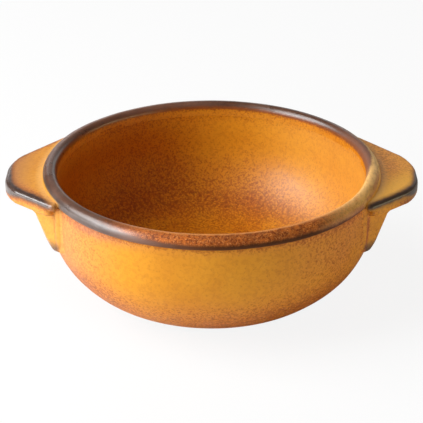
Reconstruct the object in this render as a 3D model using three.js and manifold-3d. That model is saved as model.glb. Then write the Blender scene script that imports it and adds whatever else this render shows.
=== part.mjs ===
// Open round stoneware pot: a turned bowl with a rolled lip and a foot ring, and two lug handles
// that are luted to the wall with beds of slip.
// Millimetres, +Z up. The origin lies on the table under the middle of the pot. The lugs lie on the X axis.
import * as THREE from "three";
import { mergeVertices } from "three/addons/utils/BufferGeometryUtils.js";
import Module from "manifold-3d";

// Driving dimensions of the bowl
const rimDiameter = 165; // over the rolled lip
const potHeight = 66; // table to the top of the lip
const wallThickness = 5.3;
const floorThickness = 5.5;
const kneeRadius = 45; // outside turn from the wall to the underside
const heelDiameter = 104; // where that turn meets the flat underside
const lipOverhang = 1.9; // how far the lip stands out from the wall
const lipHeight = 7; // full height of the lip's round section

// Driving dimensions of the foot ring
const footDiameter = 93;
const footWidth = 6;
const footHeight = 3;
const footEdge = 0.8; // round on its two lower edges

// Driving dimensions of the lug handles
const lugProjection = 20; // from the wall to the lug's tip
const lugDrop = 4.2; // top of the lip to the top of the lug at the wall
const lugFall = 1.5; // how far the lug's top falls from the wall to its tip
const lugThickness = 7.6; // of the shelf that the fingers hold
const lugDepth = 25.4; // top of the lug at the wall to the lower end of its pad
const lugTipWidth = 30.8; // between the tip corners before they are rounded
const lugRootWidth = 81.4; // between the root corners before they are rounded
const lugNeckWidth = 66.4; // between the places where the root meets the wall
const lugRootStep = 5.2; // how far the root corners stand out from the wall
const lugTipRound = 26;
const lugRootRound = 3.2;
const lugEdge = 2; // round along the shelf's upper and lower edges
const padTop = 7.2; // thickness of the pad under the shelf
const padFoot = 3.5; // thickness of the pad at its lower end
const padFillet = 5; // hollow between the pad and the shelf
const padToe = 1.6; // round at the pad's lower end

// Joints between the pieces
const slipThickness = 0.9; // bed of slip that holds each lug to the wall
const jointGap = 0.3; // clearance of a bed to the wall and to its lug, and of a lug to the lip

// Fineness of the round surfaces
const turnSteps = 64; // facets round the pot
const arcSteps = 5; // half the facets of a profile's long arc
const lipSteps = 2; // half the facets of each quarter of the lip's section
const edgeSteps = 1; // half the facets of a small edge round
const lugCurveSteps = 6;
const lugBevelSteps = 3;

// Places that follow from the driving dimensions
const rimRadius = rimDiameter / 2;
const wallRadius = rimRadius - lipOverhang;
const innerRadius = wallRadius - wallThickness;
const floorTop = footHeight + floorThickness;
const lipHalfWidth = (rimRadius - innerRadius) / 2;
const lipHalfHeight = lipHeight / 2;
const lipCentre = new THREE.Vector2(rimRadius - lipHalfWidth, potHeight - lipHalfHeight);
const seatSlope = (wallRadius - lipCentre.x) / lipHalfWidth; // cosine of the lip's angle at the wall
const seatAngle = -Math.acos(seatSlope);
const seatHeight = lipCentre.y + lipHalfHeight * Math.sin(seatAngle);
const heelRadius = heelDiameter / 2;
const kneeCentreRadius = wallRadius - kneeRadius;
const heelAngle = -Math.acos((heelRadius - kneeCentreRadius) / kneeRadius);
const kneeHeight = footHeight - kneeRadius * Math.sin(heelAngle);
const innerKneeRadius = kneeHeight - floorTop;
const lugTop = potHeight - lugDrop;
const shelfBottom = lugTop - lugThickness;
const padBottom = lugTop - lugDepth;
const lugReach = wallRadius + lugProjection;
const lugSlope = lugFall / lugProjection;
const rootCorner = chordEnd(wallRadius + lugRootStep, lugRootWidth);
const neckCorner = chordEnd(wallRadius, lugNeckWidth);

const amberGlaze = { color: 0xc47a22, roughness: 0.45, metalness: 0 };
const ironBrownGlaze = { color: 0x4a3128, roughness: 0.38, metalness: 0 };
const bareClay = { color: 0xb99a78, roughness: 0.9, metalness: 0 };

const wasm = await Module();
wasm.setup();

// End on the +Y side of a chord across a circle round the axis, on the +X side
function chordEnd(radius, width) {
  return new THREE.Vector2(Math.sqrt(radius ** 2 - (width / 2) ** 2), width / 2);
}

// A closed geometry as a solid that can be joined and cut
function solidOf(geometry) {
  const bare = geometry.clone();
  bare.deleteAttribute("normal");
  bare.deleteAttribute("uv");
  const merged = mergeVertices(bare);
  return new wasm.Manifold(
    new wasm.Mesh({
      numProp: 3,
      vertProperties: merged.attributes.position.array,
      triVerts: new Uint32Array(merged.index.array),
    }),
  );
}

function geometryOf(solid) {
  const mesh = solid.getMesh();
  const geometry = new THREE.BufferGeometry();
  geometry.setAttribute("position", new THREE.BufferAttribute(mesh.vertProperties, 3));
  geometry.setIndex(new THREE.BufferAttribute(mesh.triVerts, 1));
  return geometry;
}

// Turns a profile of (radius, height) round the pot's upright axis
function turned(profile, steps = arcSteps) {
  return new THREE.LatheGeometry(profile.getPoints(steps), turnSteps).rotateX(Math.PI / 2);
}

// Extrudes a plan outline upwards from the height bottom
function prism(shape, bottom, top) {
  const options = { depth: top - bottom, bevelEnabled: false, curveSegments: lugCurveSteps };
  return new THREE.ExtrudeGeometry(shape, options).translate(0, 0, bottom);
}

// Closed outline through corners of {x, y, round}
function roundedShape(corners) {
  const shape = new THREE.Shape();
  corners.forEach((corner, i) => {
    const at = new THREE.Vector2(corner.x, corner.y);
    const before = corners.at(i - 1);
    const after = corners[(i + 1) % corners.length];
    const back = new THREE.Vector2(before.x, before.y).sub(at).normalize();
    const ahead = new THREE.Vector2(after.x, after.y).sub(at).normalize();
    const half = Math.acos(back.dot(ahead)) / 2;
    const start = at.clone().addScaledVector(back, corner.round / Math.tan(half));
    if (i === 0) shape.moveTo(start.x, start.y);
    else shape.lineTo(start.x, start.y);
    if (corner.round === 0) return;
    const middle = back.clone().add(ahead).normalize();
    const centre = at.clone().addScaledVector(middle, corner.round / Math.sin(half));
    const end = at.clone().addScaledVector(ahead, corner.round / Math.tan(half));
    const startAngle = start.sub(centre).angle();
    const endAngle = end.sub(centre).angle();
    const clockwise = back.cross(ahead) > 0;
    shape.absarc(centre.x, centre.y, corner.round, startAngle, endAngle, clockwise);
  });
  shape.closePath();
  return shape;
}

// Bowl: flat underside, knee, upright wall, seat for the lip, then the inside down to the flat floor
function bowlGeometry() {
  const profile = new THREE.Path();
  profile.moveTo(0, footHeight);
  profile.lineTo(heelRadius, footHeight);
  profile.absarc(kneeCentreRadius, kneeHeight, kneeRadius, heelAngle, 0, false);
  profile.lineTo(wallRadius, seatHeight);
  profile.lineTo(innerRadius, seatHeight);
  profile.lineTo(innerRadius, kneeHeight);
  profile.absarc(innerRadius - innerKneeRadius, kneeHeight, innerKneeRadius, 0, -Math.PI / 2, true);
  profile.lineTo(0, floorTop);
  return turned(profile);
}

// Rolled lip: a round section that overhangs the wall outside and is flush with it inside
function lipGeometry() {
  const profile = new THREE.Path();
  profile.moveTo(wallRadius, seatHeight);
  const quarters = [seatAngle, 0, Math.PI / 2, Math.PI];
  for (let i = 1; i < quarters.length; i += 1) {
    const [from, to] = [quarters[i - 1], quarters[i]];
    profile.absellipse(lipCentre.x, lipCentre.y, lipHalfWidth, lipHalfHeight, from, to, false);
  }
  profile.lineTo(innerRadius, seatHeight);
  profile.closePath();
  return turned(profile, lipSteps);
}

function footGeometry() {
  const outer = footDiameter / 2;
  const inner = outer - footWidth;
  const profile = new THREE.Path();
  profile.moveTo(inner, footHeight);
  profile.lineTo(inner, footEdge);
  profile.absarc(inner + footEdge, footEdge, footEdge, -Math.PI, -Math.PI / 2, false);
  profile.absarc(outer - footEdge, footEdge, footEdge, -Math.PI / 2, 0, false);
  profile.lineTo(outer, footHeight);
  profile.closePath();
  return turned(profile, edgeSteps);
}

// The wall's outside grown by a clearance, as a full core that cuts what stands against the wall
function wallCore(clearance) {
  const profile = new THREE.Path();
  profile.moveTo(0, footHeight);
  profile.lineTo(heelRadius, footHeight);
  profile.absarc(kneeCentreRadius, kneeHeight, kneeRadius + clearance, heelAngle, 0, false);
  profile.lineTo(wallRadius + clearance, potHeight);
  profile.lineTo(0, potHeight);
  return solidOf(turned(profile));
}

// The lip's outside grown by the joint clearance
function lipCore() {
  const profile = new THREE.Path();
  profile.moveTo(lipCentre.x, lipCentre.y - lipHalfHeight - jointGap);
  profile.absellipse(
    lipCentre.x,
    lipCentre.y,
    lipHalfWidth + jointGap,
    lipHalfHeight + jointGap,
    -Math.PI / 2,
    Math.PI / 2,
    false,
  );
  profile.closePath();
  return solidOf(turned(profile));
}

// Plan of a lug on +X: its sides start on the wall, step out to the root corners and run in to the tip.
// The outline carries on inside the wall, which cuts it off.
function lugPlan() {
  const insideShare = 3; // inner corners lie this many steps from root to neck behind the root corners
  const inner = rootCorner.clone().lerp(neckCorner, insideShare);
  const tipY = lugTipWidth / 2;
  return roundedShape([
    { x: inner.x, y: -inner.y, round: 0 },
    { x: rootCorner.x, y: -rootCorner.y, round: lugRootRound },
    { x: lugReach, y: -tipY, round: lugTipRound },
    { x: lugReach, y: tipY, round: lugTipRound },
    { x: rootCorner.x, y: rootCorner.y, round: lugRootRound },
    { x: inner.x, y: inner.y, round: 0 },
  ]);
}

// Shelf of the lug, with its upper and lower edges rounded, falling a little towards the tip
function lugShelf() {
  const options = {
    depth: lugThickness - 2 * lugEdge,
    bevelThickness: lugEdge,
    bevelSize: lugEdge,
    bevelOffset: -lugEdge,
    bevelSegments: lugBevelSteps,
    curveSegments: lugCurveSteps,
  };
  const shelf = new THREE.ExtrudeGeometry(lugPlan(), options);
  shelf.translate(-wallRadius, 0, shelfBottom + lugEdge);
  shelf.applyMatrix4(new THREE.Matrix4().makeShear(0, -lugSlope, 0, 0, 0, 0));
  return solidOf(shelf.translate(wallRadius, 0, 0));
}

// Pad that carries the shelf: it follows the wall, thins downwards and is hollowed into the shelf
function lugPad() {
  const shelfMiddle = (lugTop + shelfBottom) / 2;
  const hollowRadius = wallRadius + padTop + padFillet;
  const profile = new THREE.Path();
  profile.moveTo(innerRadius, padBottom);
  profile.lineTo(wallRadius + padFoot - padToe, padBottom);
  profile.absarc(wallRadius + padFoot - padToe, padBottom + padToe, padToe, -Math.PI / 2, 0, false);
  profile.lineTo(wallRadius + padTop, shelfBottom - padFillet);
  profile.absarc(hollowRadius, shelfBottom - padFillet, padFillet, Math.PI, Math.PI / 2, true);
  profile.lineTo(hollowRadius, shelfMiddle);
  profile.lineTo(innerRadius, shelfMiddle);
  profile.closePath();
  return solidOf(turned(profile)).intersect(solidOf(prism(lugPlan(), padBottom, shelfMiddle)));
}

// Lug on +X, cut to stand on its bed of slip and clear of the lip
function lugGeometry() {
  const bedFace = wallCore(jointGap + slipThickness + jointGap);
  return geometryOf(lugShelf().add(lugPad()).subtract(bedFace).subtract(lipCore()));
}

// Bed of slip on +X: a thin layer between the wall and the lug, as wide as the lug and under the lip
function slipGeometry() {
  const footprint = solidOf(prism(lugPlan(), padBottom, seatHeight - jointGap));
  const layer = wallCore(jointGap + slipThickness).subtract(wallCore(jointGap));
  return geometryOf(layer.intersect(footprint));
}

function piece(name, geometry, finish) {
  const mesh = new THREE.Mesh(geometry, new THREE.MeshStandardMaterial(finish));
  mesh.name = name;
  return mesh;
}

const pot = new THREE.Group();
pot.add(piece("bowl_body", bowlGeometry(), amberGlaze));
pot.add(piece("rolled_lip", lipGeometry(), ironBrownGlaze));
pot.add(piece("foot_ring", footGeometry(), bareClay));

const lug = lugGeometry();
const slipBed = slipGeometry();
for (const [side, turn] of [["right", 0], ["left", Math.PI]]) {
  const handle = new THREE.Group();
  handle.add(piece(`${side}_lug_handle`, lug, amberGlaze));
  handle.add(piece(`${side}_slip_bed`, slipBed, amberGlaze));
  handle.rotation.z = turn;
  pot.add(handle);
}

export default pot;
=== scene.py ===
import math
import bmesh
import bpy
from mathutils import Euler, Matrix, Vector


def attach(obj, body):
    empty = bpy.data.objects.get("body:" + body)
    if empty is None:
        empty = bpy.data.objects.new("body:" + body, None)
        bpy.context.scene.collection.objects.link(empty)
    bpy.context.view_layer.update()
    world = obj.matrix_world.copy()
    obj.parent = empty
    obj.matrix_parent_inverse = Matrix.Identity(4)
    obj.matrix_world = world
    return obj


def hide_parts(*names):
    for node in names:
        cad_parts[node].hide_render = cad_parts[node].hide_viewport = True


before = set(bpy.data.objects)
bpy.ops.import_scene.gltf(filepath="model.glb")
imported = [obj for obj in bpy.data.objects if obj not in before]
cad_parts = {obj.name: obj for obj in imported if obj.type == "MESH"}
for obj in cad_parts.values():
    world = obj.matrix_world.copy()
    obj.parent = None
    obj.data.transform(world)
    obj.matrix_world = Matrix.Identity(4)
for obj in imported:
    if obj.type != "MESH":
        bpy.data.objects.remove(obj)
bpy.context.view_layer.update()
mm = 0.001
closeBy = 1e-5                                              # metres; points this near share a place
weld = 2e-5                                                 # metres; points this near are merged
squarely = 0.9                                              # how far a picked face looks along its axis
smoothDeg = 50                                              # turned pieces stay sharp past this angle


def arc(centre, radius, startDeg, endDeg, count):
    # points along an arc of (radius, height), both ends included
    points = []
    for i in range(count + 1):
        a = math.radians(startDeg + (endDeg - startDeg) * i / count)
        points.append((centre[0] + radius[0] * math.cos(a), centre[1] + radius[1] * math.sin(a)))
    return points


def line(start, end, count):
    # points on the way from start to end, the first one left out
    step = [(end[0] - start[0]) / count, (end[1] - start[1]) / count]
    return [(start[0] + step[0] * i, start[1] + step[1] * i) for i in range(1, count + 1)]


def clearSelection():
    if bpy.context.object and bpy.context.object.mode != "OBJECT":
        bpy.ops.object.mode_set(mode="OBJECT")
    bpy.ops.object.select_all(action="DESELECT")


def pickOnly(piece):
    clearSelection()
    piece.select_set(True)
    bpy.context.view_layer.objects.active = piece


def pick(kind, test):
    # selects the open mesh's faces or edges that pass the test
    mesh = bmesh.from_edit_mesh(bpy.context.object.data)
    bpy.ops.mesh.select_all(action="DESELECT")
    bpy.ops.mesh.select_mode(type={"edges": "EDGE", "faces": "FACE"}[kind])
    for part in getattr(mesh, kind):
        part.select_set(bool(test(part)))
    mesh.select_flush_mode()
    bmesh.update_edit_mesh(bpy.context.object.data)


def startProfile(name, points):
    # one corner point, pulled along a section in the XZ plane
    clearSelection()
    bpy.ops.mesh.primitive_plane_add(size=mm, location=(0, 0, 0))
    piece = bpy.context.object
    piece.name = name
    piece.data.name = name
    bpy.ops.object.mode_set(mode="EDIT")
    bpy.ops.mesh.select_mode(type="VERT")
    bpy.ops.mesh.merge(type="CENTER")
    bpy.ops.transform.translate(value=(points[0][0] * mm, 0, points[0][1] * mm))
    for before, after in zip(points, points[1:]):
        way = ((after[0] - before[0]) * mm, 0, (after[1] - before[1]) * mm)
        bpy.ops.mesh.extrude_vertices_move(TRANSFORM_OT_translate={"value": way})
    bpy.ops.mesh.select_all(action="SELECT")
    return piece


def spinAndClose(steps, angle):
    # sweeps what is picked round the pot's axis and closes the skin
    bpy.ops.mesh.spin(steps=steps, angle=angle, center=(0, 0, 0), axis=(0, 0, 1))
    bpy.ops.mesh.select_all(action="SELECT")
    bpy.ops.mesh.remove_doubles(threshold=weld)
    bpy.ops.mesh.normals_make_consistent(inside=False)
    bpy.ops.object.mode_set(mode="OBJECT")


def throwOnWheel(name, points, turns):
    # a section spun once round the pot's axis
    piece = startProfile(name, points)
    spinAndClose(turns, math.tau)
    bpy.ops.object.shade_smooth_by_angle(angle=math.radians(smoothDeg))
    return piece


def applyAll(piece):
    pickOnly(piece)
    for name in [m.name for m in piece.modifiers]:
        bpy.ops.object.modifier_apply(modifier=name)


def unevenHand(piece, size, depth):
    # the slight waviness of clay that was shaped by hand
    cloud = bpy.data.textures.new(piece.name + "Wave", "CLOUDS")
    cloud.noise_scale = size * mm
    cloud.noise_depth = 1
    wave = piece.modifiers.new("wave", "DISPLACE")
    wave.texture = cloud
    wave.texture_coords = "LOCAL"
    wave.strength = depth * mm
    wave.mid_level = 0.5
    applyAll(piece)


# bowl: the section of the thrown wall and floor, in mm
bowl = {
    "wall": 80.6, "inside": 75.3, "seat": 59.41, "underside": 3.0, "heel": 52.0, "heelEdge": 1.0,
    "knee": 45.0, "kneeHeight": 44.89, "floor": 8.5, "intoLip": 1.2, "lean": 0.05,
    "kneeSteps": 30, "wallSteps": 8, "edgeSteps": 2, "floorSteps": 12, "turns": 180,
    "waveSize": 38, "waveDepth": 0.45,
}


def makeBowl():
    b = bowl
    kneeMiddle = (b["wall"] - b["knee"], b["kneeHeight"])
    heelDeg = -math.degrees(math.acos((b["heel"] - kneeMiddle[0]) / b["knee"]))
    innerKnee = b["kneeHeight"] - b["floor"]
    innerMiddle = (b["inside"] - innerKnee, b["kneeHeight"])
    top = b["seat"] + b["intoLip"]                          # the wall reaches a little into the lip
    middle = (0, b["underside"])
    points = [middle] + line(middle, (b["heel"] - b["heelEdge"], b["underside"]), b["wallSteps"])
    points += arc(kneeMiddle, (b["knee"], b["knee"]), heelDeg, 0, b["kneeSteps"])
    points += line(points[-1], (b["wall"], top), b["wallSteps"])
    points += line(points[-1], (b["inside"] + b["lean"], top), b["edgeSteps"])
    points += line(points[-1], (b["inside"], b["kneeHeight"]), b["wallSteps"])
    points += arc(innerMiddle, (innerKnee, innerKnee), 0, -90, b["kneeSteps"])[1:]
    points += line(points[-1], (0, b["floor"]), b["floorSteps"])
    piece = throwOnWheel("bowlBody", points, b["turns"])
    unevenHand(piece, b["waveSize"], b["waveDepth"])
    print("bowl thrown,", len(piece.data.polygons), "faces")
    return piece


# rolled lip: a roll that overhangs the wall outside and is fullest low down
lip = {
    "crownX": 78.1, "top": 66.0, "outer": 82.5, "inner": 75.3, "outerZ": 61.6, "innerZ": 62.3,
    "underX": 79.5, "under": 2.4, "underDeg": -80, "lower": 58.9, "lean": 0.02, "seat": 1.4,
    "underSteps": 12, "outerSteps": 16, "innerSteps": 14, "faceSteps": 3, "turns": 240,
    "waveSize": 30, "waveDepth": 0.3,
}


def makeLip():
    p = lip
    under = (p["outer"] - p["underX"], p["under"])
    outer = (p["outer"] - p["crownX"], p["top"] - p["outerZ"])
    inner = (p["crownX"] - p["inner"], p["top"] - p["innerZ"])
    points = arc((p["underX"], p["outerZ"]), under, p["underDeg"], 0, p["underSteps"])
    points += arc((p["crownX"], p["outerZ"]), outer, 0, 90, p["outerSteps"])[1:]
    points += arc((p["crownX"], p["innerZ"]), inner, 90, 180, p["innerSteps"])[1:]
    points += line(points[-1], (p["inner"] + p["lean"], p["lower"]), p["faceSteps"])
    points += [(p["inner"] + p["seat"], p["lower"]), points[0]]
    piece = throwOnWheel("rolledLip", points, p["turns"])
    unevenHand(piece, p["waveSize"], p["waveDepth"])
    print("lip rolled,", len(piece.data.polygons), "faces")
    return piece


# foot ring, its top a little wider and reaching into the bowl
foot = {
    "outer": 46.5, "width": 6.0, "height": 3.0, "overlap": 0.4,
    "edge": 0.8, "edgeSteps": 5, "turns": 160,
}


def makeFoot():
    f = foot
    inner, wide = f["outer"] - f["width"], f["outer"] + f["overlap"]
    top, edge = f["height"] + f["overlap"], (f["edge"], f["edge"])
    points = [(inner, top)]
    points += arc((inner + f["edge"], f["edge"]), edge, 180, 270, f["edgeSteps"])
    points += arc((f["outer"] - f["edge"], f["edge"]), edge, -90, 0, f["edgeSteps"])
    points += [(wide, f["height"]), (wide, top), points[0]]
    piece = throwOnWheel("footRing", points, f["turns"])
    print("foot turned,", len(piece.data.polygons), "faces")
    return piece


# lug handles, drawn on +X and turned half round for the left one
lug = {
    "tip": 100.6, "tipHalf": 15.4, "rootX": 75.5, "rootHalf": 40.7,         # plan
    "backX": 69.2, "backHalf": 18.2, "padBack": 36.0, "backEdge": 0.9,      # plan behind the root
    "tipRound": 10.8, "tipSteps": 10, "rootRound": 5.4, "padRound": 1.6, "rootSteps": 8,
    "top": 61.8, "thick": 7.6, "fall": 1.5, "edge": 2.0, "edgeSteps": 5, "sharp": 1.2,
    "brim": 4.0, "brimReach": 2.6, "brimEdge": 1.9,                         # thin brim along the shelf's top
    "core": 78.4, "coreDepth": 60, "coreMiddle": 55,                        # room for the wall
    "bottom": 34.8, "padTop": 6.8, "padFoot": 2.6, "padOverlap": 3, "padDeg": 34, "padTurns": 60,
    "toe": 1.4, "toeSteps": 5, "hollow": 5.4, "hollowSteps": 10, "planBelow": 2, "planAbove": 8,
    "rampTurn": 53.1, "rampTilt": 3.0, "rampReach": 73.0, "rampHeight": 45.0, "rampDeep": 40.0,
    "voxel": 0.5, "soften": 8,
}
lugSlope = lug["fall"] / (lug["tip"] - bowl["wall"])


def planBlock(name, low, high, rootRound, backHalf, reach=0.0):
    # a block with the lug's plan: wide root, slanting sides, rounded tip
    g = lug
    slant = (g["rootHalf"] - g["tipHalf"]) / (g["tip"] - g["rootX"])
    rootX, rootHalf = g["rootX"] - reach, g["rootHalf"] + slant * reach
    clearSelection()
    middle = ((g["tip"] + rootX) / 2 * mm, 0, (low + high) / 2 * mm)
    bpy.ops.mesh.primitive_cube_add(size=1, location=middle)
    block = bpy.context.object
    block.name = name
    block.scale = ((g["tip"] - rootX) * mm, 2 * rootHalf * mm, (high - low) * mm)
    bpy.ops.object.transform_apply(location=True, rotation=True, scale=True)
    bpy.ops.object.mode_set(mode="EDIT")
    pick("faces", lambda f: f.normal.x > squarely)
    bpy.ops.transform.resize(value=(1, g["tipHalf"] / rootHalf, 1))
    pick("faces", lambda f: f.normal.x < -squarely)
    back = ((g["backX"] - rootX) * mm, 0, 0)
    bpy.ops.mesh.extrude_region_move(TRANSFORM_OT_translate={"value": back})
    bpy.ops.transform.resize(value=(1, backHalf / rootHalf, 1))
    upright = lambda e: abs(e.verts[0].co.z - e.verts[1].co.z) > 10 * closeBy
    pick("edges", lambda e: upright(e) and abs(e.verts[0].co.x - g["tip"] * mm) < closeBy)
    bpy.ops.mesh.bevel(offset=g["tipRound"] * mm, segments=g["tipSteps"], offset_type="OFFSET")
    pick("edges", lambda e: upright(e) and abs(e.verts[0].co.x - rootX * mm) < closeBy)
    bpy.ops.mesh.bevel(offset=rootRound * mm, segments=g["rootSteps"], offset_type="OFFSET")
    return block


def cutWith(piece, tool, operation):
    cut = piece.modifiers.new("cut", "BOOLEAN")
    cut.operation = operation
    cut.object = tool
    cut.solver = "EXACT"
    applyAll(piece)
    bpy.data.objects.remove(tool)


def makePlate(name, thick, edge, reach):
    # a plate with the lug's plan and rounded edges, its top falling a little towards the tip
    g = lug
    plate = planBlock(name, g["top"] - thick, g["top"], g["rootRound"], g["backHalf"], reach)
    behind = (g["backX"] + g["backEdge"]) * mm              # the edges at the back stay sharp
    level = lambda e: abs(e.verts[0].co.z - e.verts[1].co.z) < closeBy
    shown = lambda e: max(v.co.x for v in e.verts) > behind
    pick("edges", lambda e: level(e) and e.calc_face_angle(0) > g["sharp"] and shown(e))
    bpy.ops.mesh.bevel(offset=edge * mm, segments=g["edgeSteps"], offset_type="OFFSET")
    bpy.ops.object.mode_set(mode="OBJECT")
    for v in plate.data.vertices:
        v.co.z -= lugSlope * (v.co.x - bowl["wall"] * mm)
    clearSelection()
    bpy.ops.mesh.primitive_cylinder_add(
        vertices=bowl["turns"], radius=g["core"] * mm, depth=g["coreDepth"] * mm,
        location=(0, 0, g["coreMiddle"] * mm))
    cutWith(plate, bpy.context.object, "DIFFERENCE")
    return plate


def spinPatch(name, points, halfDeg, steps):
    # a closed section swept along the wall, as far to each side of +X
    patch = startProfile(name, points + points[:1])
    bpy.ops.mesh.remove_doubles(threshold=weld)
    bpy.ops.mesh.edge_face_add()
    bpy.ops.transform.rotate(value=math.radians(-halfDeg), orient_axis="Z", center_override=(0, 0, 0))
    spinAndClose(steps, math.radians(2 * halfDeg))
    return patch


def makePad():
    g = lug
    low, high = g["bottom"], g["top"] - g["thick"]
    toeX, outX = bowl["wall"] + g["padFoot"] - g["toe"], bowl["wall"] + g["padTop"] + g["hollow"]
    roof = high + g["padOverlap"]                           # the pad ends inside the shelf
    points = [(g["core"], low)]
    points += arc((toeX, low + g["toe"]), (g["toe"], g["toe"]), -90, 0, g["toeSteps"])
    points += arc((outX, high - g["hollow"]), (g["hollow"], g["hollow"]), 180, 90, g["hollowSteps"])
    points += [(outX, roof), (g["core"], roof)]
    pad = spinPatch("pad", points, g["padDeg"], g["padTurns"])
    plan = planBlock("plan", low - g["planBelow"], high + g["planAbove"], g["padRound"], g["padBack"])
    bpy.ops.object.mode_set(mode="OBJECT")
    cutWith(pad, plan, "INTERSECT")
    # both ends slope down to the wall
    deep = g["rampDeep"]
    for side in (1, -1):
        turn = Euler((0, math.radians(g["rampTilt"]), side * math.radians(g["rampTurn"])))
        outward = Vector((1, 0, 0))
        outward.rotate(turn)
        level = Vector((outward.x, outward.y, 0)).normalized() * g["rampReach"]
        middle = level + Vector((0, 0, g["rampHeight"])) + outward * deep / 2
        clearSelection()
        bpy.ops.mesh.primitive_cube_add(size=1, location=middle * mm, rotation=turn)
        wedge = bpy.context.object
        wedge.scale = (deep * mm, 4 * deep * mm, 2 * deep * mm)
        bpy.ops.object.transform_apply(location=True, rotation=True, scale=True)
        cutWith(pad, wedge, "DIFFERENCE")
    return pad


def soften(piece, voxel, rounds):
    # one skin over everything, with the steps and edges rubbed soft
    pickOnly(piece)
    piece.data.remesh_voxel_size = voxel * mm
    bpy.ops.object.voxel_remesh()
    rub = piece.modifiers.new("rub", "SMOOTH")
    rub.factor = 0.5
    rub.iterations = rounds
    applyAll(piece)
    bpy.ops.object.shade_smooth()


def makeLug():
    pad = makePad()
    brim = makePlate("brim", lug["brim"], lug["brimEdge"], lug["brimReach"])
    shelf = makePlate("shelf", lug["thick"], lug["edge"], 0.0)
    clearSelection()
    for part in (pad, brim, shelf):
        part.select_set(True)
    bpy.context.view_layer.objects.active = shelf
    bpy.ops.object.join()
    shelf.name = "rightLugHandle"
    shelf.data.name = "rightLugHandle"
    soften(shelf, lug["voxel"], lug["soften"])
    print("lug shaped,", len(shelf.data.polygons), "faces")
    return shelf


# slip that lutes a lug on, squeezed out a little round its root and wiped thin at its border
slip = {
    "halfDeg": 29.5, "below": 2.6, "above": 59.2, "thick": 1.8, "margin": 4.2, "corner": 6.0, "sink": 0.35,
    "rows": 40, "turns": 110, "skin": 0.1, "voxel": 0.4, "soften": 8,
}


def wallAt(height):
    fall = bowl["kneeHeight"] - height
    if fall <= 0:
        return bowl["wall"]
    return bowl["wall"] - bowl["knee"] + math.sqrt(bowl["knee"] ** 2 - fall ** 2)


def borderOf(across, up):
    # distance in from the sides and the rounded lower corners of the bed
    corner = slip["corner"]
    if across < corner and up < corner:
        return corner - math.hypot(corner - across, corner - up)
    return min(across, up)


def makeSlip():
    low, high = lug["bottom"] - slip["below"], slip["above"]
    points = [(lug["core"], low)]
    for i in range(slip["rows"] + 1):
        height = low + (high - low) * i / slip["rows"]
        points.append((wallAt(height) + slip["thick"], height))
    points.append((lug["core"], high))
    piece = spinPatch("rightSlipBed", points, slip["halfDeg"], slip["turns"])
    for v in piece.data.vertices:
        across = math.hypot(v.co.x, v.co.y)
        if across < (lug["core"] + slip["skin"]) * mm:
            continue
        side = math.radians(slip["halfDeg"] - abs(math.degrees(math.atan2(v.co.y, v.co.x)))) * bowl["wall"]
        share = min(1.0, max(0.0, borderOf(side, v.co.z / mm - low) / slip["margin"]))
        rise = slip["thick"] * share * share * (3 - 2 * share) - slip["sink"] * (1 - share)
        grow = (wallAt(v.co.z / mm) + rise) * mm / across
        v.co.x *= grow
        v.co.y *= grow
    soften(piece, slip["voxel"], slip["soften"])
    print("slip laid,", len(piece.data.polygons), "faces")
    return piece


def turnedHalf(piece, name):
    # a copy on the other side of the pot, with a mesh of its own
    pickOnly(piece)
    bpy.ops.object.duplicate(linked=False)
    other = bpy.context.object
    other.name = name
    other.data.name = name
    other.rotation_euler = (0, 0, math.pi)
    bpy.ops.object.transform_apply(location=True, rotation=True, scale=True)
    return other


# small helpers for shader trees
def put(tree, kind, feeds=None, **settings):
    node = tree.nodes.new("ShaderNode" + kind)
    for name, value in settings.items():
        setattr(node, name, value)
    for name, value in (feeds or {}).items():
        feed(tree, node.inputs[name], value)
    return node


def feed(tree, socket, value):
    if isinstance(value, bpy.types.NodeSocket):
        tree.links.new(value, socket)
    else:
        socket.default_value = value


def calc(tree, operation, first, second=0.0, third=0.0, clamp=False):
    feeds = {0: first, 1: second, 2: third}
    return put(tree, "Math", feeds, operation=operation, use_clamp=clamp).outputs[0]


def ease(tree, value, low, high, least=0.0, most=1.0):
    # least at low, most at high, soft at both ends
    feeds = {"Value": value, "From Min": low, "From Max": high, "To Min": least, "To Max": most}
    return put(tree, "MapRange", feeds, interpolation_type="SMOOTHSTEP").outputs["Result"]


def times(tree, *factors):
    result = factors[0]
    for factor in factors[1:]:
        result = calc(tree, "MULTIPLY", result, factor)
    return result


def total(tree, *parts):
    result = parts[0]
    for part in parts[1:]:
        result = calc(tree, "ADD", result, part)
    return result


def larger(tree, *values):
    result = values[0]
    for value in values[1:]:
        result = calc(tree, "MAXIMUM", result, value)
    return result


def less(tree, first, second):
    return calc(tree, "SUBTRACT", first, second)


def without(tree, value, share=1.0):
    # one, less a share of the value
    return less(tree, 1.0, times(tree, value, share))


def mixColour(tree, amount, first, second):
    return put(tree, "Mix", {0: amount, 6: first, 7: second}, data_type="RGBA").outputs[2]


def mixShader(tree, amount, first, second):
    return put(tree, "MixShader", {0: amount, 1: first, 2: second}).outputs[0]


def cloud(tree, where, size, detail=2.0, rough=0.5):
    # soft noise with features of about size millimetres
    feeds = {"Vector": where, "Scale": 0.6 / (size * mm), "Detail": detail, "Roughness": rough}
    return put(tree, "TexNoise", feeds).outputs["Fac"]


def centred(tree, noise):
    return less(tree, noise, 0.5)


def ragged(tree, where, size, swing):
    # noise round zero, to make an edge between two glazes uneven
    return times(tree, centred(tree, cloud(tree, where, size, 4, 0.65)), 2 * swing)


def paint(red, green, blue):
    # a colour as a picture program names it, by the usual display curve
    part = lambda c: c / 255 / 12.92 if c < 10.3 else ((c / 255 + 0.055) / 1.055) ** 2.4
    return (part(red), part(green), part(blue), 1)


def startMaterial(name):
    material = bpy.data.materials.new(name)
    material.use_nodes = True
    material.node_tree.nodes.clear()
    return material, material.node_tree


def startGlaze(name):
    material, tree = startMaterial(name)
    return material, tree, put(tree, "TexCoord").outputs["Object"]


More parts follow.
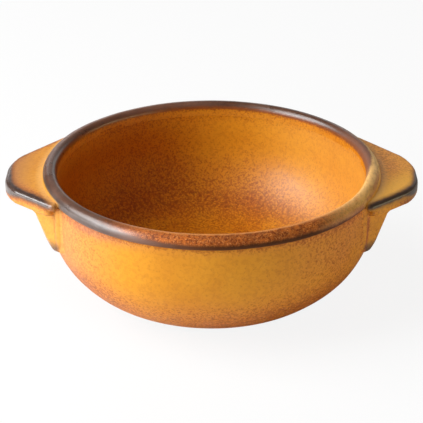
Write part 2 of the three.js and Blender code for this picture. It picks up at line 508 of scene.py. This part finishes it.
def coatShader(tree, colour, roughness, height, depth, specular):
    bump = put(tree, "Bump", {"Height": height, "Distance": depth * mm, "Strength": 1.0}).outputs[0]
    feeds = {"Base Color": colour, "Roughness": roughness, "Normal": bump, "Specular IOR Level": specular}
    return put(tree, "BsdfPrincipled", feeds).outputs[0]


def endMaterial(tree, shader):
    tree.links.new(shader, put(tree, "OutputMaterial").inputs["Surface"])


# glazes: amber with iron speckle, and the iron-brown of lip and edges
amber = {
    "gold": paint(224, 152, 30), "ochre": paint(213, 138, 22), "honey": paint(231, 163, 42),
    "haze": paint(210, 120, 64), "deepHaze": paint(196, 104, 12), "speck": paint(168, 84, 14),
    "deepSpeck": paint(132, 60, 8), "cream": paint(236, 188, 112), "blush": paint(184, 122, 94),
    # sun, tan, cream and blush are also mixed in as painted light, painted shade and painted sheen where
    # marked below
    "tan": paint(168, 114, 66), "sun": paint(246, 184, 62), "orange": paint(236, 146, 70),
}
iron = {
    "dark": paint(48, 31, 25), "grey": paint(84, 66, 58), "band": paint(74, 39, 13),
    "rust": paint(122, 64, 22), "toast": paint(186, 100, 38), "mauve": paint(124, 88, 74),
    # straw is painted light on the lip's right shoulder
    "khaki": paint(236, 186, 112), "straw": paint(248, 210, 150), "dots": paint(228, 154, 86),
    "burnt": paint(104, 44, 22),
}
clay = {
    "pale": paint(196, 164, 128), "tan": paint(166, 130, 96), "grit": paint(120, 84, 58),
    "patchCloud": (9, 4), "gritCloud": (0.7, 3, 0.65), "gritSpan": (0.62, 0.7),
    "rough": 0.85, "gritDepth": 0.25, "shine": 0.3,
}


def places(tree, where):
    # sideways, front to back, height and distance from the axis, all in mm
    apart = put(tree, "SeparateXYZ", {0: where})
    x, y, z = [times(tree, apart.outputs[i], 1 / mm) for i in range(3)]
    around = calc(tree, "SQRT", total(tree, times(tree, x, x), times(tree, y, y)))
    return x, y, z, around


# grain of the amber glaze: a cloud has its size in mm, its detail and its roughness;
# a span has where it starts and ends and, if not 0 and 1, the amount at each
amberGrain = {
    "broadCloud": (30, 3), "broad": (0.3, 0.7), "softCloud": (6, 3), "soft": (0.45, 0.8, 0, 0.35),
    "patchCloud": (12, 4, 0.6), "patch": (0.25, 0.75, 0.3, 0.75),
    "mottleCloud": (1.2, 3, 0.6), "mottle": (0.42, 0.64), "mottleAll": 0.18, "mottleRust": 0.26,
    "fineCloud": (0.6, 2, 0.6), "speckLevel": 0.66, "speckRust": 0.2,
    "speck": (-0.08, 0.1), "speckShare": (0.0, 0.5, 0.3, 0.7),
    "darkCloud": (0.85, 2, 0.5), "dark": (0.03, 0.12, 0, 0.6),
}
glazeSkin = {
    "roughCloud": (5, 2), "roughSwing": 0.14, "fineRough": 0.06,
    "rippleCloud": (2.6, 2), "fineHeight": 0.5, "depth": 0.08,
}


def amberCoat(tree, where, rust, haze):
    # colour and grain of the amber glaze, with more iron spray where rust is high
    grain = amberGrain
    broad = ease(tree, cloud(tree, where, *grain["broadCloud"]), *grain["broad"])
    colour = mixColour(tree, broad, amber["ochre"], amber["gold"])
    soft = ease(tree, cloud(tree, where, *grain["softCloud"]), *grain["soft"])
    colour = mixColour(tree, soft, colour, amber["honey"])
    patchy = ease(tree, cloud(tree, where, *grain["patchCloud"]), *grain["patch"])
    colour = mixColour(tree, calc(tree, "MULTIPLY", rust, patchy, clamp=True), colour, haze)
    # soft mottling all over, fine specks where there is more iron
    mottle = ease(tree, cloud(tree, where, *grain["mottleCloud"]), *grain["mottle"])
    mottle = times(tree, mottle, total(tree, grain["mottleAll"], times(tree, rust, grain["mottleRust"])))
    colour = mixColour(tree, mottle, colour, amber["speck"])
    fine = cloud(tree, where, *grain["fineCloud"])
    level = less(tree, grain["speckLevel"], times(tree, rust, grain["speckRust"]))
    specks = ease(tree, less(tree, fine, level), *grain["speck"])
    specks = times(tree, specks, ease(tree, rust, *grain["speckShare"]))
    colour = mixColour(tree, specks, colour, amber["speck"])
    dark = ease(tree, less(tree, cloud(tree, where, *grain["darkCloud"]), level), *grain["dark"])
    colour = mixColour(tree, times(tree, dark, rust), colour, amber["deepSpeck"])
    return colour, fine


def clayColour(tree, where):
    colour = mixColour(tree, cloud(tree, where, *clay["patchCloud"]), clay["pale"], clay["tan"])
    grit = ease(tree, cloud(tree, where, *clay["gritCloud"]), *clay["gritSpan"])
    return mixColour(tree, grit, colour, clay["grit"])


def glazeShader(tree, where, colour, fine, gloss, specular):
    skin = glazeSkin
    patches = times(tree, cloud(tree, where, *skin["roughCloud"]), skin["roughSwing"])
    rough = total(tree, gloss, patches, times(tree, fine, skin["fineRough"]))
    ripple = cloud(tree, where, *skin["rippleCloud"])
    height = total(tree, ripple, times(tree, fine, skin["fineHeight"]))
    return coatShader(tree, colour, rough, height, skin["depth"], specular)


# the bowl's glaze: clouds and spans as above, in mm
bowlLook = {
    "coreX": 37.0, "coreZ": 44.9, "outside": (39.3, 40.6),
    "low": (38.0, 12.0, 0, 0.78), "left": (-36.0, -76.0, 0, 0.8), "leftAhead": (10.0, -34.0, 0.45, 1.0),
    "right": (8.0, 62.0, 0, 0.46), "underLip": (54.0, 59.0), "underLipLeft": (-10.0, -55.0, 0.32, 0.5),
    "ringTop": (22.0, 17.0), "ringFoot": (10.0, 15.0, 0, 0.28),
    "inLow": (48.0, 14.0, 0, 0.52), "inHigh": (54.0, 60.0, 0, 0.3), "inAll": 0.15,
    "paintedShadeLeft": (4.0, -30.0), "paintedShadeFarLeft": (-66.0, -38.0, 0.5, 1.0), "paintedShadeLeftUp": (10.0, 24.0, 0, 0.3),
    "rustCloud": (20, 2), "rustLeast": 0.55, "paleAndPaintedLight": (16.0, 60.0, 0, 0.16),
    "pink": (52.0, 59.5, 0, 0.65), "pinkRag": (4, 3.0), "pinkLeft": (-24.0, -62.0),
    "pinkAhead": (-42.0, -60.0, 0.2, 1.0), "paintedSheenShare": 0.2,
    "cream": (24.0, 36.0, 0, 0.24), "creamTop": (58.0, 53.0),
    "spill": (57.4, 59.6, 0, 0.5), "spillRag": (1.2, 4.0), "bare": (4.3, 3.7), "bareRag": (6, 0.7),
    "rough": 0.37, "bareRough": 0.4, "shine": 0.28, "hollowRough": 0.34, "hollowShine": 0.5,
}


def bowlGlaze():
    look = bowlLook
    material, tree, where = startGlaze("amberBowlGlaze")
    x, y, z, around = places(tree, where)
    # how far out of the hollow: 36 to 38 on the inner face, about 42 to 44 on the outer one
    sideways = larger(tree, less(tree, around, look["coreX"]), 0.0)
    down = calc(tree, "MINIMUM", less(tree, z, look["coreZ"]), 0.0)
    reach = calc(tree, "SQRT", total(tree, times(tree, sideways, sideways), times(tree, down, down)))
    outside = ease(tree, reach, *look["outside"])
    inside = without(tree, outside)
    # iron spray: outside low down, at the sides and under the lip
    low = ease(tree, z, *look["low"])
    leftSide = times(tree, ease(tree, x, *look["left"]), ease(tree, y, *look["leftAhead"]))
    side = total(tree, ease(tree, x, *look["right"]), leftSide)
    underLip = times(tree, ease(tree, z, *look["underLip"]), ease(tree, x, *look["underLipLeft"]))
    rustOut = total(tree, low, side, underLip)
    # inside round the floor and under the lip; more on the left inside, which is painted shade
    ring = times(tree, ease(tree, z, *look["ringTop"]), ease(tree, z, *look["ringFoot"]))
    inLow, inHigh = ease(tree, z, *look["inLow"]), ease(tree, z, *look["inHigh"])
    paintedShadeLeft = times(tree, ease(tree, x, *look["paintedShadeLeft"]), ease(tree, x, *look["paintedShadeFarLeft"]))
    paintedShadeLeft = times(tree, paintedShadeLeft, ease(tree, z, *look["paintedShadeLeftUp"]))
    rustAndPaintedShadeIn = total(tree, inLow, inHigh, ring, look["inAll"], paintedShadeLeft)
    # inside, this also carries the painted shade on the left
    rust = total(tree, times(tree, rustOut, outside), times(tree, rustAndPaintedShadeIn, inside))
    drift = total(tree, look["rustLeast"], cloud(tree, where, *look["rustCloud"]))
    rust = calc(tree, "MULTIPLY", rust, drift, clamp=True)
    haze = mixColour(tree, inside, amber["haze"], amber["deepHaze"])
    colour, fine = amberCoat(tree, where, rust, haze)
    # paler on the right inside, a painted sheen where the lamp falls; pinker under the lip on the left;
    # paler and pinker on the left side beside the left lug, painted sheen there
    paleAndPaintedLight = times(tree, inside, ease(tree, x, *look["paleAndPaintedLight"]))
    colour = mixColour(tree, paleAndPaintedLight, colour, amber["cream"])
    under = ease(tree, total(tree, z, ragged(tree, where, *look["pinkRag"])), *look["pink"])
    under = times(tree, outside, under, ease(tree, x, *look["pinkLeft"]), ease(tree, y, *look["pinkAhead"]))
    # the share on the left side is painted sheen on the wall that faces the lamps
    pinkish = total(tree, under, times(tree, outside, leftSide, look["paintedSheenShare"]))
    colour = mixColour(tree, pinkish, colour, amber["blush"])
    # cream on the left side below the lip: painted sheen
    paintedSheenLeft = times(tree, outside, leftSide, ease(tree, z, *look["cream"]), ease(tree, z, *look["creamTop"]))
    colour = mixColour(tree, paintedSheenLeft, colour, amber["cream"])
    # the lip's brown runs over the amber in small spots
    spilled = ease(tree, total(tree, z, ragged(tree, where, *look["spillRag"])), *look["spill"])
    colour = mixColour(tree, times(tree, outside, spilled), colour, amber["speck"])
    # no glaze under the pot
    bare = ease(tree, total(tree, z, ragged(tree, where, *look["bareRag"])), *look["bare"])
    bare = times(tree, outside, bare)
    colour = mixColour(tree, bare, colour, clayColour(tree, where))
    rough = total(tree, look["rough"], times(tree, bare, look["bareRough"]))
    outer = glazeShader(tree, where, colour, fine, rough, look["shine"])
    hollow = glazeShader(tree, where, colour, fine, look["hollowRough"], look["hollowShine"])
    endMaterial(tree, mixShader(tree, outside, hollow, outer))
    return material


# the glaze of the lugs and the slip
lugLook = {
    "corner": 12.0, "tip": (91.0, 100.0), "right": (-10.0, 10.0), "back": (-6.0, 16.0),
    "thinBack": 2.0, "thinTip": 1.6, "thinRight": 1.1, "thinAll": -0.8, "tipDrop": 2.4,
    "edge": (3.3, 1.3), "edgeRag": (3, 0.8), "paintedLitRidgeEnd": (87.0, 83.5, 0, 0.8),
    "toe": (42.0, 35.8, 0, 0.85), "toeRag": (3, 1.5), "toeOut": (80.8, 82.0),
    "brownOut": (97.0, 88.0, 0.1, 0.58), "brownBack": (-22.0, 0.0, 0.1, 1.0),
    "near": (8.0, 2.0, 0, 0.8), "nearRight": 0.5, "bed": (82.0, 80.6, 0, 0.4),
    "scorchOut": (86.0, 97.0), "scorchDown": (1.0, 5.0, 0, 0.9), "scorchShare": 0.6,
    "seamDeg": 26, "seam": (1.8, 0.4, 0, 0.8), "seamDown": (5.0, 10.0), "seamLeft": 0.5, "seamShare": 0.6,
    "low": (56.0, 40.0, 0, 0.5), "lowBack": (-36.0, -22.0), "rustAll": 0.12,
    "rustCloud": (12, 2), "rustLeast": 0.5, "onTop": (5.0, 2.0),
    "ahead": (6.0, -18.0), "aheadFrom": 92.0, "aheadSlant": 1.2, "paintedLightAll": 0.12, "paintedLightAhead": 0.56,
    "tan": (84.0, 97.0, 0.2, 0.7), "lightDown": (2.0, 7.0), "lightAhead": (-16.0, -34.0, 0.2, 1.0),
    "lightBed": (0.0, 0.4, 0.18, 0.0), "paintedHighlightByLip": (87.0, 83.0), "paintedHighlightByLipAll": 0.4, "paintedHighlightByLipRight": 0.1,
    "paintedLightByBed": (0.1, 0.4, 0, 0.42), "halo": (5.0, 2.2, 0, 0.6), "darkCloud": (5, 3),
    "rough": 0.36, "shine": 0.36, "edgeRough": 0.08, "edgeShine": 1.0, "edgeDull": 0.75,
}


def lugGlaze():
    look = lugLook
    material, tree, where = startGlaze("amberLugGlaze")
    x, y, z, around = places(tree, where)
    wide, deep = calc(tree, "ABSOLUTE", x), calc(tree, "ABSOLUTE", y)
    # distance in from the slanting side or the tip, and down from the top
    run, rise = lug["tip"] - lug["rootX"], lug["rootHalf"] - lug["tipHalf"]
    sideX, sideY = rise / math.hypot(run, rise), run / math.hypot(run, rise)
    sideReach = sideX * lug["rootX"] + sideY * lug["rootHalf"]
    flank = less(tree, sideReach, total(tree, times(tree, wide, sideX), times(tree, deep, sideY)))
    inset = calc(tree, "SMOOTH_MIN", flank, less(tree, lug["tip"], wide), look["corner"])
    top = less(tree, lug["top"], times(tree, less(tree, wide, bowl["wall"]), lugSlope))
    tip = ease(tree, wide, *look["tip"])
    right = ease(tree, x, *look["right"])
    left = without(tree, right)
    back = ease(tree, y, *look["back"])
    # the dark band is widest along the front ridge and down the tip, thin behind and on the right tip
    thinBack = total(tree, look["thinBack"], times(tree, tip, right, look["thinTip"]))
    thin = total(tree, times(tree, back, thinBack), times(tree, right, look["thinRight"]), look["thinAll"])
    below = less(tree, less(tree, top, z), times(tree, tip, look["tipDrop"]))
    away = larger(tree, total(tree, inset, thin), below)
    away = total(tree, away, ragged(tree, where, *look["edgeRag"]))
    # the dark band and its rusty border fade where the left lug's ridge meets the lip: painted light on that
    # shaded end
    paintedLitRidgeEnd = without(tree, times(tree, left, ease(tree, around, *look["paintedLitRidgeEnd"])))
    edge = times(tree, ease(tree, away, *look["edge"]), paintedLitRidgeEnd)
    toe = ease(tree, total(tree, z, ragged(tree, where, *look["toeRag"])), *look["toe"])
    toe = times(tree, toe, ease(tree, around, *look["toeOut"]))
    bare = larger(tree, edge, toe)
    # iron spray: on the right lug near the pot and at its tip, beside the band, on the slip and low down
    brown = times(tree, right, ease(tree, wide, *look["brownOut"]), ease(tree, y, *look["brownBack"]))
    near = times(tree, ease(tree, away, *look["near"]), without(tree, right, look["nearRight"]))
    bed = ease(tree, around, *look["bed"])
    scorched = times(tree, right, ease(tree, wide, *look["scorchOut"]))
    scorched = times(tree, scorched, ease(tree, below, *look["scorchDown"]))
    lowDown = times(tree, ease(tree, z, *look["low"]), ease(tree, y, *look["lowBack"]))
    # a thin darker line where the end of the lug meets the slip: painted shade in the crease, weaker on the
    # left lug that faces the lamps
    seam = math.radians(look["seamDeg"])
    fromSeam = less(tree, times(tree, deep, math.cos(seam)), times(tree, wide, math.sin(seam)))
    paintedCreaseShade = ease(tree, calc(tree, "ABSOLUTE", fromSeam), *look["seam"])
    paintedCreaseShade = times(tree, paintedCreaseShade, ease(tree, below, *look["seamDown"]))
    paintedCreaseShade = times(tree, paintedCreaseShade, without(tree, left, look["seamLeft"]))
    # this iron spray also carries the painted crease shade
    rust = total(tree, near, brown, bed, paintedCreaseShade, scorched, lowDown, look["rustAll"])
    drift = total(tree, look["rustLeast"], cloud(tree, where, *look["rustCloud"]))
    rust = calc(tree, "MULTIPLY", rust, drift, clamp=True)
    haze = mixColour(tree, right, amber["haze"], amber["orange"])
    colour, fine = amberCoat(tree, where, rust, haze)
    # brighter gold on the right lug's top in front, partly the glaze and partly painted light; scorched at
    # the tip on the right; tan on top on the left, painted shade toning down its bright top
    onTop = ease(tree, below, *look["onTop"])
    ahead = total(tree, y, times(tree, less(tree, look["aheadFrom"], wide), look["aheadSlant"]))
    paleAndPaintedLight = total(tree, look["paintedLightAll"], times(tree, ease(tree, ahead, *look["ahead"]), look["paintedLightAhead"]))
    colour = mixColour(tree, times(tree, right, onTop, paleAndPaintedLight), colour, amber["sun"])
    colour = mixColour(tree, times(tree, scorched, look["scorchShare"]), colour, iron["rust"])
    paintedShadeTan = times(tree, left, onTop, ease(tree, wide, *look["tan"]))
    colour = mixColour(tree, paintedShadeTan, colour, amber["tan"])
    # cream on the left lug's front flank, painted light; a cream painted highlight on top along the lip;
    # cream at the left slip's border, painted light
    paintedFlankLight = times(tree, ease(tree, below, *look["lightDown"]), ease(tree, y, *look["lightAhead"]))
    paintedFlankLight = times(tree, left, paintedFlankLight, ease(tree, bed, *look["lightBed"]))
    lipShare = less(tree, look["paintedHighlightByLipAll"], times(tree, right, look["paintedHighlightByLipRight"]))
    paintedHighlightByLip = times(tree, onTop, ease(tree, around, *look["paintedHighlightByLip"]), lipShare)
    paintedLightByBed = times(tree, left, ease(tree, bed, *look["paintedLightByBed"]))
    colour = mixColour(tree, larger(tree, paintedFlankLight, paintedHighlightByLip, paintedLightByBed), colour, amber["cream"])
    # painted crease shade, in the speck colour
    colour = mixColour(tree, times(tree, paintedCreaseShade, look["seamShare"]), colour, amber["speck"])
    # the dark band itself, with a rusty border
    halo = times(tree, ease(tree, away, *look["halo"]), paintedLitRidgeEnd)
    colour = mixColour(tree, halo, colour, iron["rust"])
    dark = mixColour(tree, cloud(tree, where, *look["darkCloud"]), iron["dark"], iron["grey"])
    colour = mixColour(tree, bare, colour, dark)
    coat = glazeShader(tree, where, colour, fine, look["rough"], look["shine"])
    satin = glazeShader(tree, where, colour, fine, look["edgeRough"], look["edgeShine"])
    shiny = times(tree, bare, without(tree, right, look["edgeDull"]))
    endMaterial(tree, mixShader(tree, shiny, coat, satin))
    return material


# the lip's glaze: spans along x and y in mm, and round the roll in degrees
lipLook = {
    "rollX": 78.9, "rollZ": 62.5, "wrap": -100.0, "fineCloud": (0.5, 2, 0.6),
    "unevenRag": (3.2, 12.0), "unevenFine": 24.0,
    "front": (-40.0, -72.0), "frontSlant": 0.35, "right": (52.0, 77.0), "rightSlant": 0.1,
    "greyCloud": (8, 3), "grey": (0.3, 0.7), "mauveRight": 0.8, "leftFront": (4.0, -36.0), "mauveLeft": 0.58,
    "band": (26.0, 4.0), "bandRight": 0.6, "crown": (-12.0, 16.0), "crownLeft": (-15.0, -60.0, 0, 40.0),
    "toastCloud": (2.5, 4, 0.65), "toast": (0.3, 0.65, 0.45, 1.0), "toastFront": 0.9, "toastAll": 0.1,
    "behind": (10.0, 50.0), "behindLeft": (10.0, -30.0), "mauveBehind": 0.55,
    "rust": (126.0, 150.0, 0, 0.9), "rustBehind": (10.0, 50.0, 0, 16.0), "rustRight": 0.6,
    "warmFrom": (14.0, -14.0), "warmTo": (-64.0, -30.0, 0, 0.4), "warmUp": (14.0, 46.0, 0.25, 1.0),
    "burntCloud": (0.7, 3, 0.6), "burnt": (0.44, 0.6, 0, 0.8),
    "wornFrom": (82.0, 108.0), "wornTo": (176.0, 150.0), "wornShare": 0.65,
    "lugs": (43.0, 37.0), "ahead": (20.0, -30.0), "aheadTurn": 80.0,
    "shoulder": (88.0, 58.0), "kept": (-16.0, 6.0), "stretch": (1, 0.3, 1),
    "paleCloud": (4, 2, 0.5), "paleFine": 0.6, "paleUp": (10.0, 90.0, 0.02, 0.08),
    "pale": (0.28, 0.56, 0.5, 0.95),
    "mauveCloud": (3, 2, 0.5), "mauve": (0.46, 0.6), "mauveDown": (104.0, 56.0, 0, 0.2),
    "strawDown": (104.0, 60.0), "strawBack": (26.0, 10.0), "strawAhead": (-30.0, -4.0), "strawShare": 0.6,
    "streakTurn": (-14.0, -46.0, 42.0, 2.0), "streakWide": (32.0, 10.0), "streakFrom": (-4.0, -16.0),
    "streakCloud": (5, 3, 0.6), "streak": (0.36, 0.56, 0.2, 0.8),
    "fleckCloud": (0.9, 3, 0.6), "fleck": (0.46, 0.66, 0, 0.32),
    "goldAhead": (0.0, -34.0), "goldRight": (30.0, 62.0), "goldUp": (100.0, 136.0), "goldShare": 0.7,
    "dotCloud": (0.3, 2, 0.5), "dot": (0.55, 0.66), "dotToast": 0.75, "dotAll": 0.03,
    "left": (-60.0, -76.0), "hem": (14.0, -6.0, 0, 0.6), "hemLeft": 6.0,
    "hollow": (166.0, 190.0), "hollowRust": (210.0, 170.0, 0.3, 0.9),
    "rough": 0.2, "amberRough": 0.14, "shine": 0.75, "dullRough": 0.42, "dullShine": 0.12,
    "dullFront": (-44.0, -80.0), "dullFrontSlant": 0.6, "dullRight": (40.0, 72.0), "dullRightSlant": 0.5,
}


def lipGlaze():
    look = lipLook
    material, tree, where = startGlaze("ironLipGlaze")
    x, y, z, around = places(tree, where)
    # the angle round the roll: 0 outwards, 90 on top, 180 towards the hollow
    turn = calc(tree, "ARCTAN2", less(tree, z, look["rollZ"]), less(tree, around, look["rollX"]))
    turn = times(tree, turn, math.degrees(1))
    turn = total(tree, turn, times(tree, calc(tree, "LESS_THAN", turn, look["wrap"]), 360.0))
    fine = cloud(tree, where, *look["fineCloud"])
    grainy = times(tree, centred(tree, fine), look["unevenFine"])
    uneven = total(tree, turn, ragged(tree, where, *look["unevenRag"]), grainy)
    front = ease(tree, less(tree, y, times(tree, x, look["frontSlant"])), *look["front"])
    right = ease(tree, less(tree, x, times(tree, y, look["rightSlant"])), *look["right"])
    # grey and mauve, with a dark band along the outside in front
    greyed = ease(tree, cloud(tree, where, *look["greyCloud"]), *look["grey"])
    grey = mixColour(tree, greyed, iron["dark"], iron["grey"])
    grey = mixColour(tree, times(tree, right, look["mauveRight"]), grey, iron["mauve"])
    leftFront = times(tree, front, ease(tree, x, *look["leftFront"]))
    grey = mixColour(tree, times(tree, leftFront, look["mauveLeft"]), grey, iron["mauve"])
    banded = times(tree, less(tree, front, leftFront), ease(tree, uneven, *look["band"]))
    banded = times(tree, banded, without(tree, right, look["bandRight"]))
    base = mixColour(tree, banded, grey, iron["band"])
    # toasted crown in front, rust along the inside
    crown = ease(tree, less(tree, uneven, ease(tree, x, *look["crownLeft"])), *look["crown"])
    warmth = ease(tree, cloud(tree, where, *look["toastCloud"]), *look["toast"])
    toasted = total(tree, times(tree, front, look["toastFront"]), look["toastAll"])
    toasted = times(tree, crown, warmth, toasted)
    behind = times(tree, ease(tree, y, *look["behind"]), ease(tree, x, *look["behindLeft"]))
    base = mixColour(tree, times(tree, behind, look["mauveBehind"]), base, iron["mauve"])
    inward = less(tree, uneven, ease(tree, y, *look["rustBehind"]))
    rusty = times(tree, ease(tree, inward, *look["rust"]), without(tree, right, look["rustRight"]))
    colour = mixColour(tree, rusty, base, iron["rust"])
    warmer = times(tree, front, ease(tree, x, *look["warmFrom"]), ease(tree, x, *look["warmTo"]))
    warmer = times(tree, warmer, ease(tree, uneven, *look["warmUp"]))
    colour = mixColour(tree, warmer, colour, iron["toast"])
    colour = mixColour(tree, toasted, colour, iron["toast"])
    burnt = ease(tree, cloud(tree, where, *look["burntCloud"]), *look["burnt"])
    colour = mixColour(tree, times(tree, burnt, crown, front), colour, iron["burnt"])
    worn = times(tree, front, ease(tree, uneven, *look["wornFrom"]), ease(tree, uneven, *look["wornTo"]))
    colour = mixColour(tree, times(tree, worn, look["wornShare"]), colour, iron["dots"])
    # where the lugs join, the amber runs up to the lip; on the right it reaches over its shoulder
    lugs = ease(tree, calc(tree, "ABSOLUTE", y), *look["lugs"])
    ahead = times(tree, ease(tree, y, *look["ahead"]), look["aheadTurn"])
    shoulder = times(tree, right, ease(tree, less(tree, uneven, ahead), *look["shoulder"]))
    kept = larger(tree, lugs, ease(tree, uneven, *look["kept"]))
    along = put(tree, "VectorMath", {0: where, 1: look["stretch"]}, operation="MULTIPLY").outputs[0]
    patches = times(tree, centred(tree, fine), look["paleFine"])
    patches = total(tree, cloud(tree, along, *look["paleCloud"]), patches)
    patches = total(tree, patches, ease(tree, uneven, *look["paleUp"]))
    pale = times(tree, shoulder, kept, ease(tree, patches, *look["pale"]))
    colour = mixColour(tree, pale, colour, iron["khaki"])
    patched = ease(tree, cloud(tree, along, *look["mauveCloud"]), *look["mauve"])
    patched = times(tree, patched, ease(tree, uneven, *look["mauveDown"]), shoulder)
    colour = mixColour(tree, patched, colour, iron["mauve"])
    # the straw mix on the right shoulder is painted light
    lit = times(tree, ease(tree, y, *look["strawBack"]), ease(tree, y, *look["strawAhead"]))
    lit = times(tree, shoulder, ease(tree, uneven, *look["strawDown"]), lit, look["strawShare"])
    colour = mixColour(tree, lit, colour, iron["straw"])
    # a pinkish streak slides from the shoulder beside the lug to the lower edge in front
    slid = calc(tree, "ABSOLUTE", less(tree, uneven, ease(tree, y, *look["streakTurn"])))
    streak = times(tree, right, ease(tree, slid, *look["streakWide"]), ease(tree, y, *look["streakFrom"]))
    streak = times(tree, streak, ease(tree, cloud(tree, along, *look["streakCloud"]), *look["streak"]))
    colour = mixColour(tree, streak, colour, amber["blush"])
    flecked = ease(tree, cloud(tree, along, *look["fleckCloud"]), *look["fleck"])
    colour = mixColour(tree, times(tree, flecked, shoulder), colour, iron["rust"])
    # a pale line along the inside at the front right, small dots on the crown
    goldEdge = times(tree, ease(tree, y, *look["goldAhead"]), ease(tree, x, *look["goldRight"]))
    goldEdge = times(tree, goldEdge, ease(tree, uneven, *look["goldUp"]), look["goldShare"])
    colour = mixColour(tree, goldEdge, colour, amber["cream"])
    dots = total(tree, times(tree, toasted, look["dotToast"]), look["dotAll"])
    dots = times(tree, ease(tree, cloud(tree, where, *look["dotCloud"]), *look["dot"]), dots)
    colour = mixColour(tree, dots, colour, iron["dots"])
    # amber under the roll by the lugs, and in the hollow
    lifted = less(tree, turn, times(tree, ease(tree, x, *look["left"]), look["hemLeft"]))
    hem = times(tree, lugs, ease(tree, lifted, *look["hem"]))
    colour = mixColour(tree, hem, colour, amber["honey"])
    coat = amberCoat(tree, where, ease(tree, uneven, *look["hollowRust"]), amber["deepHaze"])[0]
    hollow = ease(tree, uneven, *look["hollow"])
    colour = mixColour(tree, hollow, colour, coat)
    # satin on the left and behind, dull in front and on the right
    rough = total(tree, look["rough"], times(tree, larger(tree, hollow, hem), look["amberRough"]))
    satin = glazeShader(tree, where, colour, fine, rough, look["shine"])
    dull = glazeShader(tree, where, colour, fine, look["dullRough"], look["dullShine"])
    dullFront = ease(tree, less(tree, y, times(tree, x, look["dullFrontSlant"])), *look["dullFront"])
    dullRight = ease(tree, less(tree, x, times(tree, y, look["dullRightSlant"])), *look["dullRight"])
    endMaterial(tree, mixShader(tree, larger(tree, dullFront, dullRight), satin, dull))
    return material


def footClay():
    material, tree, where = startGlaze("bareFootClay")
    grit = cloud(tree, where, *clay["gritCloud"])
    colour = clayColour(tree, where)
    endMaterial(tree, coatShader(tree, colour, clay["rough"], grit, clay["gritDepth"], clay["shine"]))
    return material


# studio: pale floor, soft light from the left, a weak lamp above, cards on the right and behind
studio = {
    "floor": 6.0, "floorColour": (0.85, 0.85, 0.85, 1), "floorShine": 0.88,
    "surround": 0.07, "aim": (0, 0, 0.04),
    "key": {"place": (-0.83, -0.11, 0.61), "size": (0.8, 0.6), "power": 11.2},
    "window": {"place": (-0.82, -0.40, 0.36), "size": (0.45, 0.40), "power": 4.0},
    "low": {"place": (-0.70, -0.26, 0.06), "size": (1.0, 0.06), "power": 1.4},
    # the lamp above isn't mirrored in the glaze
    "top": {"place": (-0.40, -0.06, 0.95), "size": (0.5, 0.5), "power": 3.0, "mirrored": False},
    "card": {"place": (0.98, -0.30, 0.09), "size": (1.2, 0.16), "power": 3.5, "tint": (1, 0.88, 0.5)},
    "back": {"place": (0.10, 1.05, 0.34), "size": (1.6, 0.3), "power": 1.8},
}


def makeLamp(name):
    lamp = studio[name]
    clearSelection()
    bpy.ops.object.light_add(type="AREA", location=lamp["place"])
    light = bpy.context.object
    light.name = name
    light.data.shape = "RECTANGLE"
    light.data.size, light.data.size_y = lamp["size"]
    light.data.energy = lamp["power"]
    light.data.color = lamp.get("tint", (1, 1, 1))
    light.visible_glossy = lamp.get("mirrored", True)
    aim = Vector(studio["aim"]) - light.location
    light.rotation_euler = aim.to_track_quat("-Z", "Y").to_euler()


def makeStudio():
    clearSelection()
    bpy.ops.mesh.primitive_plane_add(size=studio["floor"], location=(0, 0, 0))
    floor = bpy.context.object
    floor.name = "floor"
    material, tree = startMaterial("paleFloor")
    plain = put(tree, "BsdfDiffuse", {"Color": studio["floorColour"]}).outputs[0]
    white = put(tree, "Emission", {"Color": (1, 1, 1, 1), "Strength": 1.0}).outputs[0]
    rays = put(tree, "LightPath").outputs
    share = times(tree, rays["Is Camera Ray"], studio["floorShine"])
    endMaterial(tree, mixShader(tree, share, plain, white))
    floor.data.materials.append(material)
    world = bpy.data.worlds.new("surround")
    world.use_nodes = True
    sky = world.node_tree.nodes["Background"].inputs
    sky["Color"].default_value = (1, 1, 1, 1)
    sky["Strength"].default_value = studio["surround"]
    bpy.context.scene.world = world
    for name in ("key", "window", "low", "top", "card", "back"):
        makeLamp(name)
    bpy.context.scene.view_settings.view_transform = "Standard"


camera = {"place": (0.0, -0.74034, 0.40309), "tiltDeg": 26.18, "lens": 141.72, "sensor": 36, "farthest": 20}


def makeCamera():
    clearSelection()
    turn = (math.radians(90 - camera["tiltDeg"]), 0, 0)
    bpy.ops.object.camera_add(location=camera["place"], rotation=turn)
    eye = bpy.context.object
    eye.data.lens = camera["lens"]
    eye.data.sensor_width = camera["sensor"]
    eye.data.clip_end = camera["farthest"]
    bpy.context.scene.camera = eye


makeCamera()
bowlBody = makeBowl()
rolledLip = makeLip()
footRing = makeFoot()
rightLugHandle = makeLug()
leftLugHandle = turnedHalf(rightLugHandle, "leftLugHandle")
rightSlipBed = makeSlip()
leftSlipBed = turnedHalf(rightSlipBed, "leftSlipBed")

bowlBody.data.materials.append(bowlGlaze())
rolledLip.data.materials.append(lipGlaze())
footRing.data.materials.append(footClay())
lugCoat = lugGlaze()
for piece in (rightLugHandle, leftLugHandle, rightSlipBed, leftSlipBed):
    piece.data.materials.clear()
    piece.data.materials.append(lugCoat)
makeStudio()
print("glazed and lit")

stands = [
    (bowlBody, "bowl_body", "amber_glaze"),
    (rolledLip, "rolled_lip", "iron_brown_glaze"),
    (footRing, "foot_ring", "bare_clay"),
    (rightLugHandle, "right_lug_handle", "amber_glaze"),
    (leftLugHandle, "left_lug_handle", "amber_glaze"),
    (rightSlipBed, "right_slip_bed", "amber_glaze"),
    (leftSlipBed, "left_slip_bed", "amber_glaze"),
]
for piece, node, finish in stands:
    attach(piece, "root")
    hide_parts(node)
